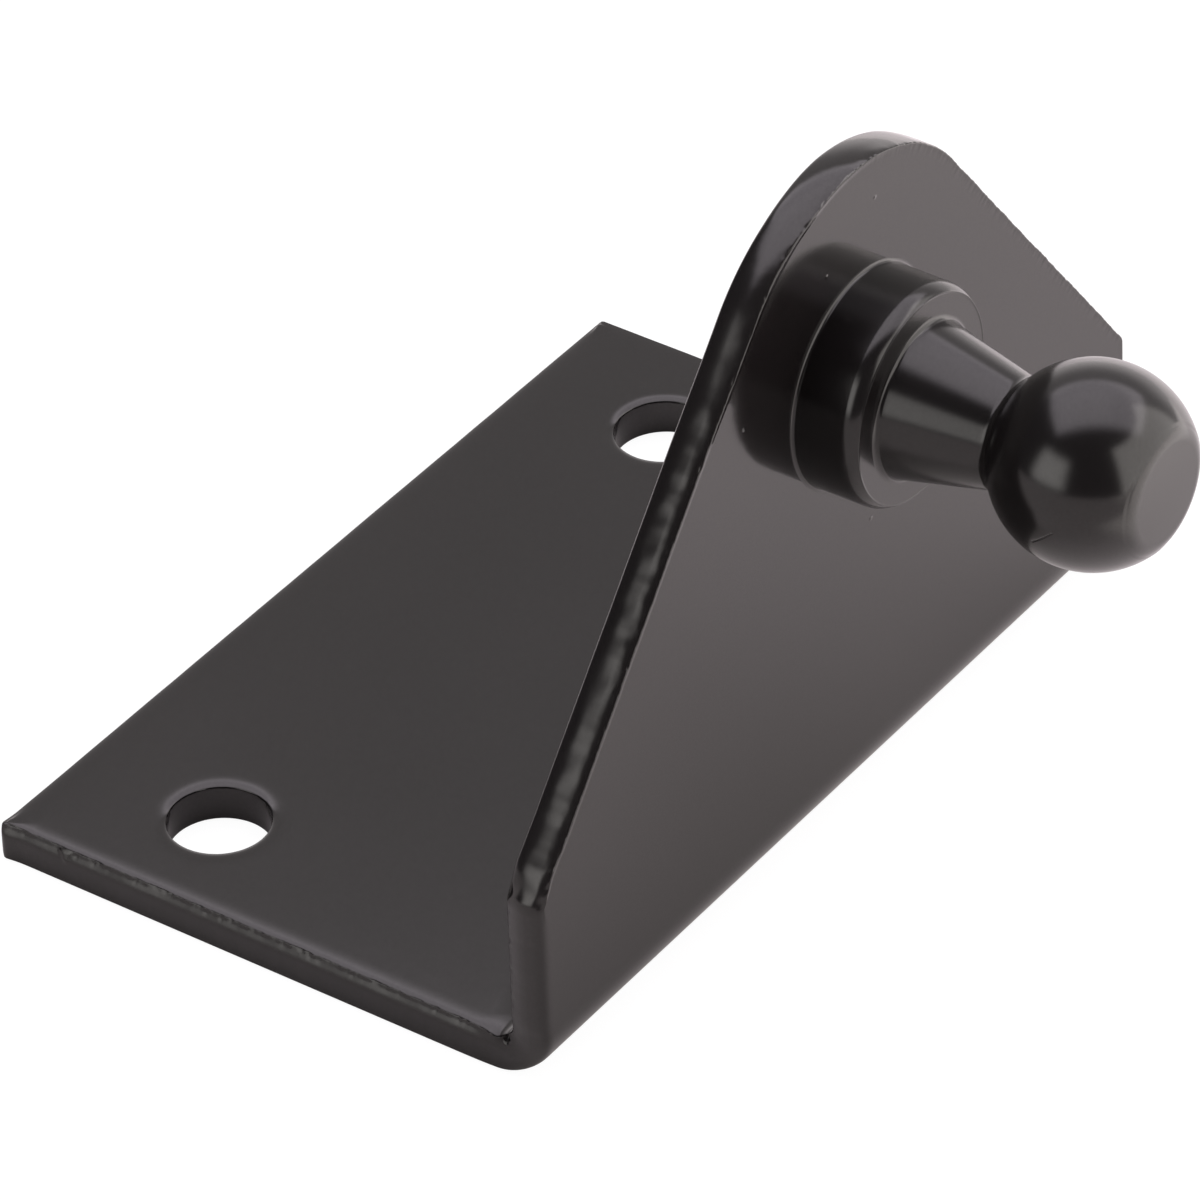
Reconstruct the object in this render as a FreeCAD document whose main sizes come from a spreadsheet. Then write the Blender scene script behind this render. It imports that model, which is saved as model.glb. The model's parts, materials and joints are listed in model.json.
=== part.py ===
import FreeCAD, Part
import Sketcher
import math
import os

# Angle mounting bracket with a riveted ball stud, the end fitting of a gas spring.
# Frame: origin midway between the two mounting holes, on the mounting face (z = 0).
# X runs along the bend line, Y from the upright flange to the free edge of the base,
# Z up. The ball stud points to -Y. Millimetres.

V = FreeCAD.Vector
doc = FreeCAD.newDocument("ball_stud_bracket")

# ---------------------------------------------------------------- driving sizes
SIZES = [
    ("plate_len", 49.4),        # along the bend line
    ("face_y", 23.45),          # outer face of the flange to the hole line
    ("edge_y", 8.3),            # hole line to the free edge of the base
    ("gauge", 2.05),            # steel thickness with its paint
    ("bend_out", 2.95),         # outer bend radius
    ("end_low_left", 11.1),     # height of the straight end edge at -X
    ("end_low_right", 13.15),   # height of the straight end edge at +X
    ("crown_off", 1.35),        # crown centre, along X from the middle
    ("crown_z", 26.0),          # crown centre, height
    ("crown_rad", 10.65),       # crown radius
    ("cut_margin", 3.0),        # outline cut's reach beyond the plate's ends and top
    ("hole_pitch", 37.5),       # between the two mounting holes
    ("hole_rad", 2.55),         # mounting hole radius (nominal 5.1 mm hole)
    ("die_roll", 0.5),          # rolled edge on the punch side of the flange outline
    ("hole_roll", 0.3),         # rolled mouth of the mounting holes
    ("edge_break", 0.3),        # rolled upper edge on the free side of the base
    ("burr_break", 0.12),       # edge break on the burr side
    ("rivet_hole", 3.05),       # radius of the flange's hole for the stud's shank
    ("ball_x", 1.8),            # stud axis, along X from the middle
    ("ball_z", 24.95),          # stud axis, height
    ("ball_out", 13.0),         # ball centre to the flange's outer face
    ("ball_rad", 5.0),          # ball radius (10 mm ball)
    ("ball_flat", 4.1),         # ball centre to its flat end
    ("flat_round", 0.9),        # round between ball and flat end
    ("collar_rad", 5.6),        # collar against the flange
    ("collar_len", 3.5),        # collar length
    ("collar_round", 0.5),      # collar's front shoulder
    ("neck_root", 3.955),       # neck radius at the collar
    ("neck_tip", 2.75),         # neck radius at the ball
    ("neck_fillet", 0.35),      # fillet where the neck leaves the collar
    ("ball_fillet", 0.5),       # fillet where the neck meets the ball
    ("shank_rad", 3.0),         # shank through the flange
    ("head_rad", 4.75),         # riveted head behind the flange
    ("head_len", 1.7),          # height of the riveted head
    ("head_crown", 1.1),        # rise of the domed part of the riveted head
]
size = dict(SIZES)
sheet = doc.addObject("Spreadsheet::Sheet", "Params")
for row, (alias, value) in enumerate(SIZES, 1):
    sheet.set("A%d" % row, alias)
    sheet.set("B%d" % row, str(value))
    sheet.setAlias("B%d" % row, alias)
doc.recompute()

# ---------------------------------------------------------------- sketch helpers
# Sketcher's numbers for the parts of a geometry and for the sketch's own axes
START, END, CENTRE = 1, 2, 3
ORIGIN = (-1, 1)
X_AXIS, Y_AXIS = -1, -2
ON_AXIS = (0.0, None)           # a coordinate that is zero and needs no dimension


def new_body(label):
    body = doc.addObject("PartDesign::Body", label)
    body.Label = label
    return body


def new_sketch(body, name, role):
    """Sketch on the body's origin plane of the given role."""
    sketch = body.newObject("Sketcher::SketchObject", name)
    plane = next(f for f in body.Origin.OriginFeatures if getattr(f, "Role", "") == role)
    sketch.AttachmentSupport = [(plane, "")]
    sketch.MapMode = "FlatFace"
    return sketch


def add_line(sketch, start, end):
    return sketch.addGeometry(Part.LineSegment(start, end), False)


def add_circle(sketch, centre, radius):
    return sketch.addGeometry(Part.Circle(centre, V(0, 0, 1), radius), False)


def add_arc(sketch, start, centre, end):
    """Arc about centre, anticlockwise in the sketch from start to end."""
    from_start, from_end = start - centre, end - centre
    first = math.atan2(from_start.y, from_start.x)
    last = math.atan2(from_end.y, from_end.x)
    while last < first:
        last += 2 * math.pi
    circle = Part.Circle(centre, V(0, 0, 1), from_start.Length)
    return sketch.addGeometry(Part.ArcOfCircle(circle, first, last), False)


def constrain(sketch, *rules):
    for rule in rules:
        sketch.addConstraint(Sketcher.Constraint(*rule))


def drive(sketch, name, expression, *rule):
    """Add a named dimension and bind it to an expression."""
    index = sketch.addConstraint(Sketcher.Constraint(*rule))
    sketch.renameConstraint(index, name)
    sketch.setExpression("Constraints." + name, expression)


def pin_point(sketch, name, geo, pos, across, up):
    """Hold a point at two coordinates, each a pair of value and expression."""
    for kind, axis, suffix, (value, expression) in (
            ("DistanceX", Y_AXIS, "_x", across), ("DistanceY", X_AXIS, "_y", up)):
        if expression is None:
            constrain(sketch, ("PointOnObject", geo, pos, axis))
        else:
            drive(sketch, name + suffix, expression, kind, *ORIGIN, geo, pos, value)


# ---------------------------------------------------------------- bracket plate
gauge = size["gauge"]
outer_y = -size["face_y"]
inner_y = outer_y + gauge
half_len = size["plate_len"] / 2
top_z = size["crown_z"] + size["crown_rad"]


def section_sketch(body):
    """Bent cross section in the YZ plane, as high as the crown."""
    sketch = new_sketch(body, "section", "YZ_Plane")
    bend_out = size["bend_out"]
    outer = (outer_y, "-Params.face_y")
    inner = (inner_y, "-Params.face_y + Params.gauge")
    bend_y = (outer_y + bend_out, "-Params.face_y + Params.bend_out")
    free_y = (size["edge_y"], "Params.edge_y")
    base_z = (gauge, "Params.gauge")
    bend_z = (bend_out, "Params.bend_out")
    crown_top = (top_z, "Params.crown_z + Params.crown_rad")
    corners = [(bend_y, ON_AXIS), (free_y, ON_AXIS), (free_y, base_z), (bend_y, base_z),
               (inner, bend_z), (inner, crown_top), (outer, crown_top), (outer, bend_z)]
    points = [V(across[0], up[0], 0) for across, up in corners]

    under, free_end, upper, inside, top, outside = [
        add_line(sketch, points[i], points[i + 1]) for i in (0, 1, 2, 4, 5, 6)]
    bend_centre = V(bend_y[0], bend_z[0], 0)
    inner_bend = add_arc(sketch, points[4], bend_centre, points[3])
    outer_bend = add_arc(sketch, points[7], bend_centre, points[0])
    constrain(sketch,
              ("Coincident", under, END, free_end, START),
              ("Coincident", free_end, END, upper, START),
              ("Coincident", inside, END, top, START),
              ("Coincident", top, END, outside, START),
              ("Coincident", upper, END, inner_bend, END),
              ("Coincident", inside, START, inner_bend, START),
              ("Coincident", outside, END, outer_bend, START),
              ("Coincident", under, START, outer_bend, END))
    held = [(under, START), (under, END), (free_end, END), (upper, END),
            (inside, START), (inside, END), (top, END), (outside, END)]
    for i, ((geo, pos), (across, up)) in enumerate(zip(held, corners)):
        pin_point(sketch, "corner%d" % i, geo, pos, across, up)
    drive(sketch, "inner_bend", "Params.bend_out - Params.gauge",
          "Radius", inner_bend, bend_out - gauge)
    drive(sketch, "outer_bend", "Params.bend_out", "Radius", outer_bend, bend_out)
    return sketch


def crown_tangent(point, centre, radius):
    """The higher of the two points where lines from point touch the crown's circle."""
    away = point - centre
    heading = math.atan2(away.y, away.x)
    spread = math.acos(radius / away.Length)
    touches = [centre + V(math.cos(angle), math.sin(angle), 0) * radius
               for angle in (heading + spread, heading - spread)]
    return max(touches, key=lambda touch: touch.y)


def outline_sketch(body):
    """Waste round the flange: two slanted edges tangent to the crown, then a frame."""
    sketch = new_sketch(body, "outline", "XZ_Plane")
    radius = size["crown_rad"]
    crown_centre = V(size["crown_off"], size["crown_z"], 0)
    far_x = half_len + size["cut_margin"]
    far_z = top_z + size["cut_margin"]
    left_low = V(-half_len, size["end_low_left"], 0)
    right_low = V(half_len, size["end_low_right"], 0)
    left_touch = crown_tangent(left_low, crown_centre, radius)
    right_touch = crown_tangent(right_low, crown_centre, radius)
    points = [V(-far_x, left_low.y, 0), left_low, left_touch, right_touch,
              right_low, V(far_x, right_low.y, 0), V(far_x, far_z, 0), V(-far_x, far_z, 0)]

    left_step, left_slope, right_slope, right_step, right_side, top_side, left_side = [
        add_line(sketch, points[i], points[(i + 1) % 8]) for i in (0, 1, 3, 4, 5, 6, 7)]
    crown = add_arc(sketch, right_touch, crown_centre, left_touch)
    constrain(sketch,
              ("Coincident", left_step, END, left_slope, START),
              ("Tangent", left_slope, END, crown, END),
              ("Tangent", right_slope, START, crown, START))
    frame = (right_slope, right_step, right_side, top_side, left_side, left_step)
    for line, following in zip(frame, frame[1:]):
        constrain(sketch, ("Coincident", line, END, following, START))
    drive(sketch, "crown", "Params.crown_rad", "Radius", crown, radius)
    pin_point(sketch, "crown_centre", crown, CENTRE,
              (crown_centre.x, "Params.crown_off"), (crown_centre.y, "Params.crown_z"))
    pin_point(sketch, "left_low", left_step, END,
              (left_low.x, "-Params.plate_len / 2"), (left_low.y, "Params.end_low_left"))
    pin_point(sketch, "right_low", right_slope, END,
              (right_low.x, "Params.plate_len / 2"), (right_low.y, "Params.end_low_right"))
    constrain(sketch,
              ("Horizontal", left_step), ("Horizontal", right_step),
              ("Vertical", right_side), ("Horizontal", top_side), ("Vertical", left_side))
    far_x_expression = "Params.plate_len / 2 + Params.cut_margin"
    pin_point(sketch, "far_corner", right_side, END, (far_x, far_x_expression),
              (far_z, "Params.crown_z + Params.crown_rad + Params.cut_margin"))
    drive(sketch, "left_reach", far_x_expression,
          "DistanceX", left_side, END, *ORIGIN, far_x)
    return sketch


def mounting_holes_sketch(body):
    sketch = new_sketch(body, "mounting_holes", "XY_Plane")
    for side, sign, prefix in (("left", -1, "-"), ("right", 1, "")):
        hole_x = sign * size["hole_pitch"] / 2
        hole = add_circle(sketch, V(hole_x, 0, 0), size["hole_rad"])
        drive(sketch, side + "_rad", "Params.hole_rad", "Radius", hole, size["hole_rad"])
        pin_point(sketch, side, hole, CENTRE,
                  (hole_x, prefix + "Params.hole_pitch / 2"), ON_AXIS)
    return sketch


def stud_hole_sketch(body):
    sketch = new_sketch(body, "stud_hole", "XZ_Plane")
    hole = add_circle(sketch, V(size["ball_x"], size["ball_z"], 0), size["rivet_hole"])
    drive(sketch, "hole_rad", "Params.rivet_hole", "Radius", hole, size["rivet_hole"])
    pin_point(sketch, "axis", hole, CENTRE,
              (size["ball_x"], "Params.ball_x"), (size["ball_z"], "Params.ball_z"))
    return sketch


def add_pocket(body, name, sketch, length=None):
    """Cut both ways from the sketch: through all, or over a length expression."""
    doc.recompute()
    pocket = body.newObject("PartDesign::Pocket", name)
    pocket.Profile = sketch
    pocket.Type = 0 if length else 1
    pocket.Midplane = True
    if length:
        pocket.setExpression("Length", length)
    sketch.Visibility = False
    doc.recompute()
    return pocket


def near(first, second, tolerance=1e-3):
    return abs(first - second) < tolerance


def on_plane(edge, axis, value):
    box = edge.BoundBox
    return near(getattr(box, axis + "Min"), value) and near(getattr(box, axis + "Max"), value)


def flange_outline(face_y):
    """Test for the slanted edges and crown on one flange face, without the stud's hole."""
    lowest = min(size["end_low_left"], size["end_low_right"]) - 0.01
    return lambda edge: (
        on_plane(edge, "Y", face_y) and edge.BoundBox.ZMin > lowest
        and not near(edge.BoundBox.XLength, 2 * size["rivet_hole"], 1e-2))


def hole_mouth(edge):
    return (on_plane(edge, "Z", gauge) and isinstance(edge.Curve, Part.Circle)
            and near(edge.Curve.Radius, size["hole_rad"]))


def free_upper_edge(edge):
    return on_plane(edge, "Z", gauge) and on_plane(edge, "Y", size["edge_y"])


def add_fillet(body, base, name, wanted, radius_alias):
    edges = ["Edge%d" % i for i, edge in enumerate(base.Shape.Edges, 1) if wanted(edge)]
    if not edges:
        raise RuntimeError("no edges for " + name)
    fillet = body.newObject("PartDesign::Fillet", name)
    fillet.Base = (base, edges)
    fillet.Radius = size[radius_alias]
    fillet.setExpression("Radius", "Params." + radius_alias)
    doc.recompute()
    return fillet


def build_plate():
    body = new_body("bracket_plate")
    section = section_sketch(body)
    doc.recompute()
    angle = body.newObject("PartDesign::Pad", "angle")
    angle.Profile = section
    angle.Midplane = True
    angle.setExpression("Length", "Params.plate_len")
    section.Visibility = False
    doc.recompute()

    add_pocket(body, "outline_cut", outline_sketch(body))
    # the length is kept short so that the cut passes through the base only
    add_pocket(body, "holes_cut", mounting_holes_sketch(body), "4 * Params.gauge")
    last = add_pocket(body, "stud_hole_cut", stud_hole_sketch(body))

    # die roll on the flange's inner face and the base's upper face, burr on the outer face
    for name, wanted, radius_alias in (
            ("flange_roll", flange_outline(inner_y), "die_roll"),
            ("hole_mouths", hole_mouth, "hole_roll"),
            ("free_edge", free_upper_edge, "edge_break"),
            ("outer_break", flange_outline(outer_y), "burr_break")):
        last = add_fillet(body, last, name, wanted, radius_alias)
    body.Tip = last
    return body


# ---------------------------------------------------------------- ball stud
def stud_sketch(body):
    """Half profile about the sketch's Y axis, from the ball's flat end to the head.

    The flange's outer face is at y = 0 and the ball is on the -Y side.
    """
    sketch = new_sketch(body, "profile", "XY_Plane")
    ball_rad, ball_flat = size["ball_rad"], size["ball_flat"]
    flat_round, ball_fillet = size["flat_round"], size["ball_fillet"]
    collar_rad, collar_round = size["collar_rad"], size["collar_round"]
    neck_root, neck_tip = size["neck_root"], size["neck_tip"]
    neck_fillet = size["neck_fillet"]
    shank_rad, head_rad, head_crown = size["shank_rad"], size["head_rad"], size["head_crown"]
    collar_y = -size["collar_len"]
    ball_centre = V(0, -size["ball_out"], 0)

    # round inside the ball, tangent to the ball and to its flat end
    round_drop = ball_flat - flat_round
    round_x = math.sqrt((ball_rad - flat_round) ** 2 - round_drop ** 2)
    round_centre = ball_centre + V(round_x, -round_drop, 0)
    flat_rim = V(round_x, ball_centre.y - ball_flat, 0)
    round_on_ball = (ball_centre
                     + (round_centre - ball_centre) * (ball_rad / (ball_rad - flat_round)))

    # the neck's cone, from the collar toward the ball, and its normal away from the axis
    neck_end_y = ball_centre.y + math.sqrt(ball_rad ** 2 - neck_tip ** 2)
    cone = V(neck_tip - neck_root, neck_end_y - collar_y, 0)
    cone.normalize()
    normal = V(-cone.y, cone.x, 0)

    # fillet tangent to the collar's face and to the cone
    root_centre = V(neck_root + neck_fillet * (1 + normal.y) / normal.x,
                    collar_y - neck_fillet, 0)
    root_on_cone = root_centre - normal * neck_fillet
    root_on_face = V(root_centre.x, collar_y, 0)

    # fillet outside the ball and the cone: its centre is where a line offset from the
    # cone first meets a circle offset from the ball
    offset_start = V(neck_root, collar_y, 0) + normal * ball_fillet
    from_ball = offset_start - ball_centre
    offset_rad = ball_rad + ball_fillet
    half_b = from_ball.dot(cone)
    along = -half_b - math.sqrt(half_b ** 2 - from_ball.dot(from_ball) + offset_rad ** 2)
    tip_centre = offset_start + cone * along
    tip_on_cone = tip_centre - normal * ball_fillet
    tip_on_ball = ball_centre + (tip_centre - ball_centre) * (ball_rad / offset_rad)

    # collar, shank and domed head
    shoulder_in = V(collar_rad - collar_round, collar_y, 0)
    shoulder_centre = shoulder_in + V(0, collar_round, 0)
    shoulder_out = V(collar_rad, shoulder_centre.y, 0)
    collar_back = V(collar_rad, 0, 0)
    shank_start, shank_end = V(shank_rad, 0, 0), V(shank_rad, gauge, 0)
    head_top_y = gauge + size["head_len"]
    head_front, head_rim = V(head_rad, gauge, 0), V(head_rad, head_top_y - head_crown, 0)
    dome_rad = (head_rad ** 2 + head_crown ** 2) / (2 * head_crown)
    dome_centre, dome_top = V(0, head_top_y - dome_rad, 0), V(0, head_top_y, 0)
    flat_centre = V(0, flat_rim.y, 0)

    flat = add_line(sketch, flat_centre, flat_rim)
    rim = add_arc(sketch, flat_rim, round_centre, round_on_ball)
    ball = add_arc(sketch, round_on_ball, ball_centre, tip_on_ball)
    tip_fillet = add_arc(sketch, tip_on_cone, tip_centre, tip_on_ball)
    neck = add_line(sketch, tip_on_cone, root_on_cone)
    root_fillet = add_arc(sketch, root_on_face, root_centre, root_on_cone)
    face = add_line(sketch, root_on_face, shoulder_in)
    shoulder = add_arc(sketch, shoulder_in, shoulder_centre, shoulder_out)
    collar = add_line(sketch, shoulder_out, collar_back)
    seat = add_line(sketch, collar_back, shank_start)
    shank = add_line(sketch, shank_start, shank_end)
    head_seat = add_line(sketch, shank_end, head_front)
    head_side = add_line(sketch, head_front, head_rim)
    dome = add_arc(sketch, head_rim, dome_centre, dome_top)
    axis = add_line(sketch, dome_top, flat_centre)

    constrain(sketch,
              ("Coincident", axis, END, flat, START),
              ("Tangent", flat, END, rim, START),
              ("Tangent", rim, END, ball, START),
              ("Tangent", ball, END, tip_fillet, END),
              ("Tangent", tip_fillet, START, neck, START),
              ("Tangent", neck, END, root_fillet, END),
              ("Tangent", root_fillet, START, face, START),
              ("Tangent", face, END, shoulder, START),
              ("Tangent", shoulder, END, collar, START))
    back = (collar, seat, shank, head_seat, head_side, dome, axis)
    for piece, following in zip(back, back[1:]):
        constrain(sketch, ("Coincident", piece, END, following, START))
    constrain(sketch,
              ("Horizontal", flat), ("Horizontal", face), ("Vertical", collar),
              ("Horizontal", seat), ("Vertical", shank), ("Horizontal", head_seat),
              ("Vertical", head_side),
              ("PointOnObject", axis, START, Y_AXIS),
              ("PointOnObject", axis, END, Y_AXIS),
              ("PointOnObject", ball, CENTRE, Y_AXIS),
              ("PointOnObject", dome, CENTRE, Y_AXIS),
              ("PointOnObject", seat, START, X_AXIS))

    # name, expression, then the constraint
    for dimension in (
            ("ball_r", "Params.ball_rad", "Radius", ball, ball_rad),
            ("ball_y", "Params.ball_out", "DistanceY", ball, CENTRE, *ORIGIN, -ball_centre.y),
            ("flat_d", "Params.ball_flat", "DistanceY", flat, START, ball, CENTRE, ball_flat),
            ("flat_r", "Params.flat_round", "Radius", rim, flat_round),
            ("bfil_r", "Params.ball_fillet", "Radius", tip_fillet, ball_fillet),
            ("tip_r", "Params.neck_tip + %.9f" % (tip_on_cone.x - neck_tip),
             "DistanceX", *ORIGIN, neck, START, tip_on_cone.x),
            ("fil_r", "Params.neck_fillet", "Radius", root_fillet, neck_fillet),
            ("col_l", "Params.collar_len", "DistanceY", face, START, *ORIGIN, -collar_y),
            ("root_r", "Params.neck_root - %.9f" % (neck_root - root_on_cone.x),
             "DistanceX", *ORIGIN, root_fillet, END, root_on_cone.x),
            ("sh_r", "Params.collar_round", "Radius", shoulder, collar_round),
            ("col_r", "Params.collar_rad", "DistanceX", *ORIGIN, collar, END, collar_rad),
            ("sk_r", "Params.shank_rad", "DistanceX", *ORIGIN, shank, START, shank_rad),
            ("grip", "Params.gauge", "DistanceY", *ORIGIN, head_seat, START, gauge),
            ("hd_r", "Params.head_rad", "DistanceX", *ORIGIN, head_side, START, head_rad),
            ("hd_y", "Params.gauge + Params.head_len - Params.head_crown",
             "DistanceY", *ORIGIN, head_side, END, head_rim.y),
            ("hd_t", "Params.gauge + Params.head_len",
             "DistanceY", *ORIGIN, axis, START, head_top_y)):
        drive(sketch, *dimension)
    return sketch


def build_stud():
    """Stud turned in one piece, then set with its axis in the flange's hole."""
    body = new_body("ball_stud")
    profile = stud_sketch(body)
    doc.recompute()
    turned = body.newObject("PartDesign::Revolution", "turned")
    turned.Profile = profile
    turned.ReferenceAxis = (profile, ["V_Axis"])
    turned.Angle = 360
    profile.Visibility = False
    doc.recompute()
    body.Placement = FreeCAD.Placement(V(size["ball_x"], outer_y, size["ball_z"]),
                                       FreeCAD.Rotation())
    body.setExpression("Placement.Base.x", "Params.ball_x")
    body.setExpression("Placement.Base.y", "-Params.face_y")
    body.setExpression("Placement.Base.z", "Params.ball_z")
    doc.recompute()
    return body


# ---------------------------------------------------------------- build and export
bodies = (build_plate(), build_stud())

for item in doc.Objects:
    if "Invalid" in item.State or "Error" in item.State:
        raise RuntimeError("%s is %s" % (item.Name, item.State))
    if item.TypeId == "Sketcher::SketchObject" and item.solve() != 0:
        raise RuntimeError("sketch %s does not solve" % item.Name)

os.makedirs("parts", exist_ok=True)
for body in bodies:
    shape = body.Shape
    if shape.isNull() or not shape.isValid() or shape.Volume <= 0:
        raise RuntimeError("bad shape " + body.Label)
    shape.exportStep(os.path.join("parts", body.Label + ".step"))
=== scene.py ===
import bpy, bmesh, math, json
import numpy as np
from mathutils import Vector, Matrix, geometry, noise


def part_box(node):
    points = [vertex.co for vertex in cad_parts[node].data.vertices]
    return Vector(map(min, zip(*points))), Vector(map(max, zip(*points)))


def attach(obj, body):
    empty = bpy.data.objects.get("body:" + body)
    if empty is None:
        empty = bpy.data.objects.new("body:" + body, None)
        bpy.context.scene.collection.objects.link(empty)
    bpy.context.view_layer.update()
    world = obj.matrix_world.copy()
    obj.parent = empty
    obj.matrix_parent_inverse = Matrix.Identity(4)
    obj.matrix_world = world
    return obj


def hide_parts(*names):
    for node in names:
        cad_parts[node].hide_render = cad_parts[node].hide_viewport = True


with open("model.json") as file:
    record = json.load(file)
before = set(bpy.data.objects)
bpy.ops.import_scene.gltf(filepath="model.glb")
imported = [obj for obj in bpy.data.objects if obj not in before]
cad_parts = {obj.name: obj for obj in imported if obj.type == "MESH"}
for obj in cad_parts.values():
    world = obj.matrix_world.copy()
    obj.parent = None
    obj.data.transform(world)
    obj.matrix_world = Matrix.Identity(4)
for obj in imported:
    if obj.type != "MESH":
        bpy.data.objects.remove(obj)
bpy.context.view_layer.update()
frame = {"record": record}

MM = 0.001
PI = math.pi
scene = bpy.context.scene

# ------------------------------------------------------------------ sizes, from the CAD frame
REC = frame["record"]
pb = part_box("bracket_plate")
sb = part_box("ball_stud")


def lohi(b):
    a = np.array([list(v) for v in b], float)
    return a.min(0) / MM, a.max(0) / MM


P_LO, P_HI = lohi(pb)
S_LO, S_HI = lohi(sb)
mounts = {m["name"]: m for m in REC["mounts"]}
HOLES = mounts["base_holes"]
HOLE_C = [c / MM for c in HOLES["pos_m"]]
PITCH = HOLES["dims"]["spacing_x_mm"]
HOLE_R = HOLES["dims"]["hole_r_mm"]
BALL_C = [c / MM for c in mounts["ball"]["pos_m"]]
BALL_R = mounts["ball"]["dims"]["r_mm"]

HX = (P_HI[0] - P_LO[0]) / 2          # half length along the bend
YO = P_LO[1]                          # outer face of the flange
YE = P_HI[1]                          # free edge of the base
TOP = P_HI[2]
T = 2.05                              # painted thickness
RO = 2.95                             # outer bend radius
LOW_L, LOW_R = 11.1, 13.15            # straight end edges
CROWN_R = 10.65
CROWN = (1.35, TOP - CROWN_R)
RIVET_R = 3.05

LB = (RO - T / 2) * PI / 2            # developed length of the bend
V_FREE = -(YE - YO - RO)              # developed coordinate of the free edge


def fold(x, v, w):
    """Flat pattern (x, v, height over the outer skin w) to the bent plate, in mm."""
    if v <= 0:
        return (x, YO + RO - v, w)
    if v >= LB:
        return (x, YO + w, RO + (v - LB))
    a = v / LB * PI / 2
    r = RO - w
    return (x, YO + RO - r * math.sin(a), RO - r * math.cos(a))


def v_of_z(z):
    return LB + z - RO


def smooth(a, b, x):
    if a == b:
        return 0.0 if x < a else 1.0
    u = min(1.0, max(0.0, (x - a) / (b - a)))
    return u * u * (3 - 2 * u)


def n1(x, seed, sc=1.0):
    return noise.noise(Vector((x * sc, seed * 7.31, seed * 1.7)))


def fbm(x, seed, sc, oct_=3):
    s, a = 0.0, 1.0
    for i in range(oct_):
        s += a * noise.noise(Vector((x * sc, seed * 7.31 + i * 3.3, 0.5)))
        sc *= 2.1
        a *= 0.55
    return s


# ------------------------------------------------------------------ outline of the flat pattern
def tangent_pt(px, pz):
    dx, dz = px - CROWN[0], pz - CROWN[1]
    d = math.hypot(dx, dz)
    base, al = math.atan2(dz, dx), math.acos(CROWN_R / d)
    c = [(CROWN[0] + CROWN_R * math.cos(k), CROWN[1] + CROWN_R * math.sin(k), k) for k in (base + al, base - al)]
    return max(c, key=lambda q: q[1])


def fillet_poly(pts, radii, step):
    """Closed polygon with rounded corners, the arcs sampled at about half the step; returns the points only."""
    out = []
    n = len(pts)
    for i in range(n):
        p0, p1, p2 = Vector(pts[i - 1]), Vector(pts[i]), Vector(pts[(i + 1) % n])
        a, b = (p0 - p1), (p2 - p1)
        la, lb = a.length, b.length
        a.normalize()
        b.normalize()
        ang = math.acos(max(-1, min(1, a.dot(b))))
        r = radii[i]
        if r <= 0 or abs(ang - PI) < 1e-4:
            out.append(p1)
            continue
        d = min(r / math.tan(ang / 2), la * 0.49, lb * 0.49)
        r = d * math.tan(ang / 2)
        bis = (a + b).normalized()
        c = p1 + bis * (r / math.sin(ang / 2))
        s, e = p1 + a * d, p1 + b * d
        k = max(6, int((PI - ang) * r / (step * 0.5)))
        a0 = math.atan2(s.y - c.y, s.x - c.x)
        a1 = math.atan2(e.y - c.y, e.x - c.x)
        da = (a1 - a0 + PI) % (2 * PI) - PI
        for j in range(k + 1):
            t_ = a0 + da * j / k
            out.append(Vector((c.x + r * math.cos(t_), c.y + r * math.sin(t_))))
    return out


def resample(poly, step, closed=True):
    pts = [Vector(p) for p in poly]
    if closed:
        pts.append(pts[0])
    s = [0.0]
    for a, b in zip(pts, pts[1:]):
        s.append(s[-1] + (b - a).length)
    n = max(8, int(round(s[-1] / step)))
    out, j = [], 0
    for i in range(n):
        q = s[-1] * i / n
        while s[j + 1] < q:
            j += 1
        u = (q - s[j]) / max(1e-9, s[j + 1] - s[j])
        out.append(pts[j].lerp(pts[j + 1], u))
    return out, s[-1]


STEP = 0.10
t1 = tangent_pt(-HX, LOW_L)
t2 = tangent_pt(HX, LOW_R)
core = [(-HX, V_FREE - 0.0), (HX, V_FREE), (HX, v_of_z(LOW_R))]
a2, a1 = t2[2], t1[2]
while a1 < a2:
    a1 += 2 * PI
NA = 90
arc = [(CROWN[0] + CROWN_R * math.cos(a2 + (a1 - a2) * i / NA), v_of_z(CROWN[1] + CROWN_R * math.sin(a2 + (a1 - a2) * i / NA))) for i in range(NA + 1)]
sl = (arc[-1][0] + HX) / (arc[-1][1] - v_of_z(LOW_L))      # left slope, mm of x per mm of height
# that slope leans out a little near its foot, then turns down through a blunt nose
poly = core + arc + [(-HX + sl * 2.8 - .02, v_of_z(LOW_L + 2.8)), (-HX + .755, v_of_z(LOW_L + 1.08)), (-HX, v_of_z(LOW_L - .40))]
rad = [0.26, 0.28, 0.5] + [0] * len(arc) + [4.0, 2.6, 0.6]
# the free edge isn't quite parallel to the bend
poly[0] = (-HX, V_FREE - 0.33)
poly[1] = (HX, V_FREE + 0.10)
outline, PERIM = resample(fillet_poly(poly, rad, STEP), STEP)
N_OUT = len(outline)


def normals(pts):
    n = len(pts)
    out = []
    for i in range(n):
        t_ = pts[(i + 1) % n] - pts[i - 1]
        out.append(Vector((t_.y, -t_.x)).normalized())
    # keep corners stable: average once
    return [(out[i - 1] + out[i] * 2 + out[(i + 1) % n]).normalized() for i in range(n)]


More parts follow.
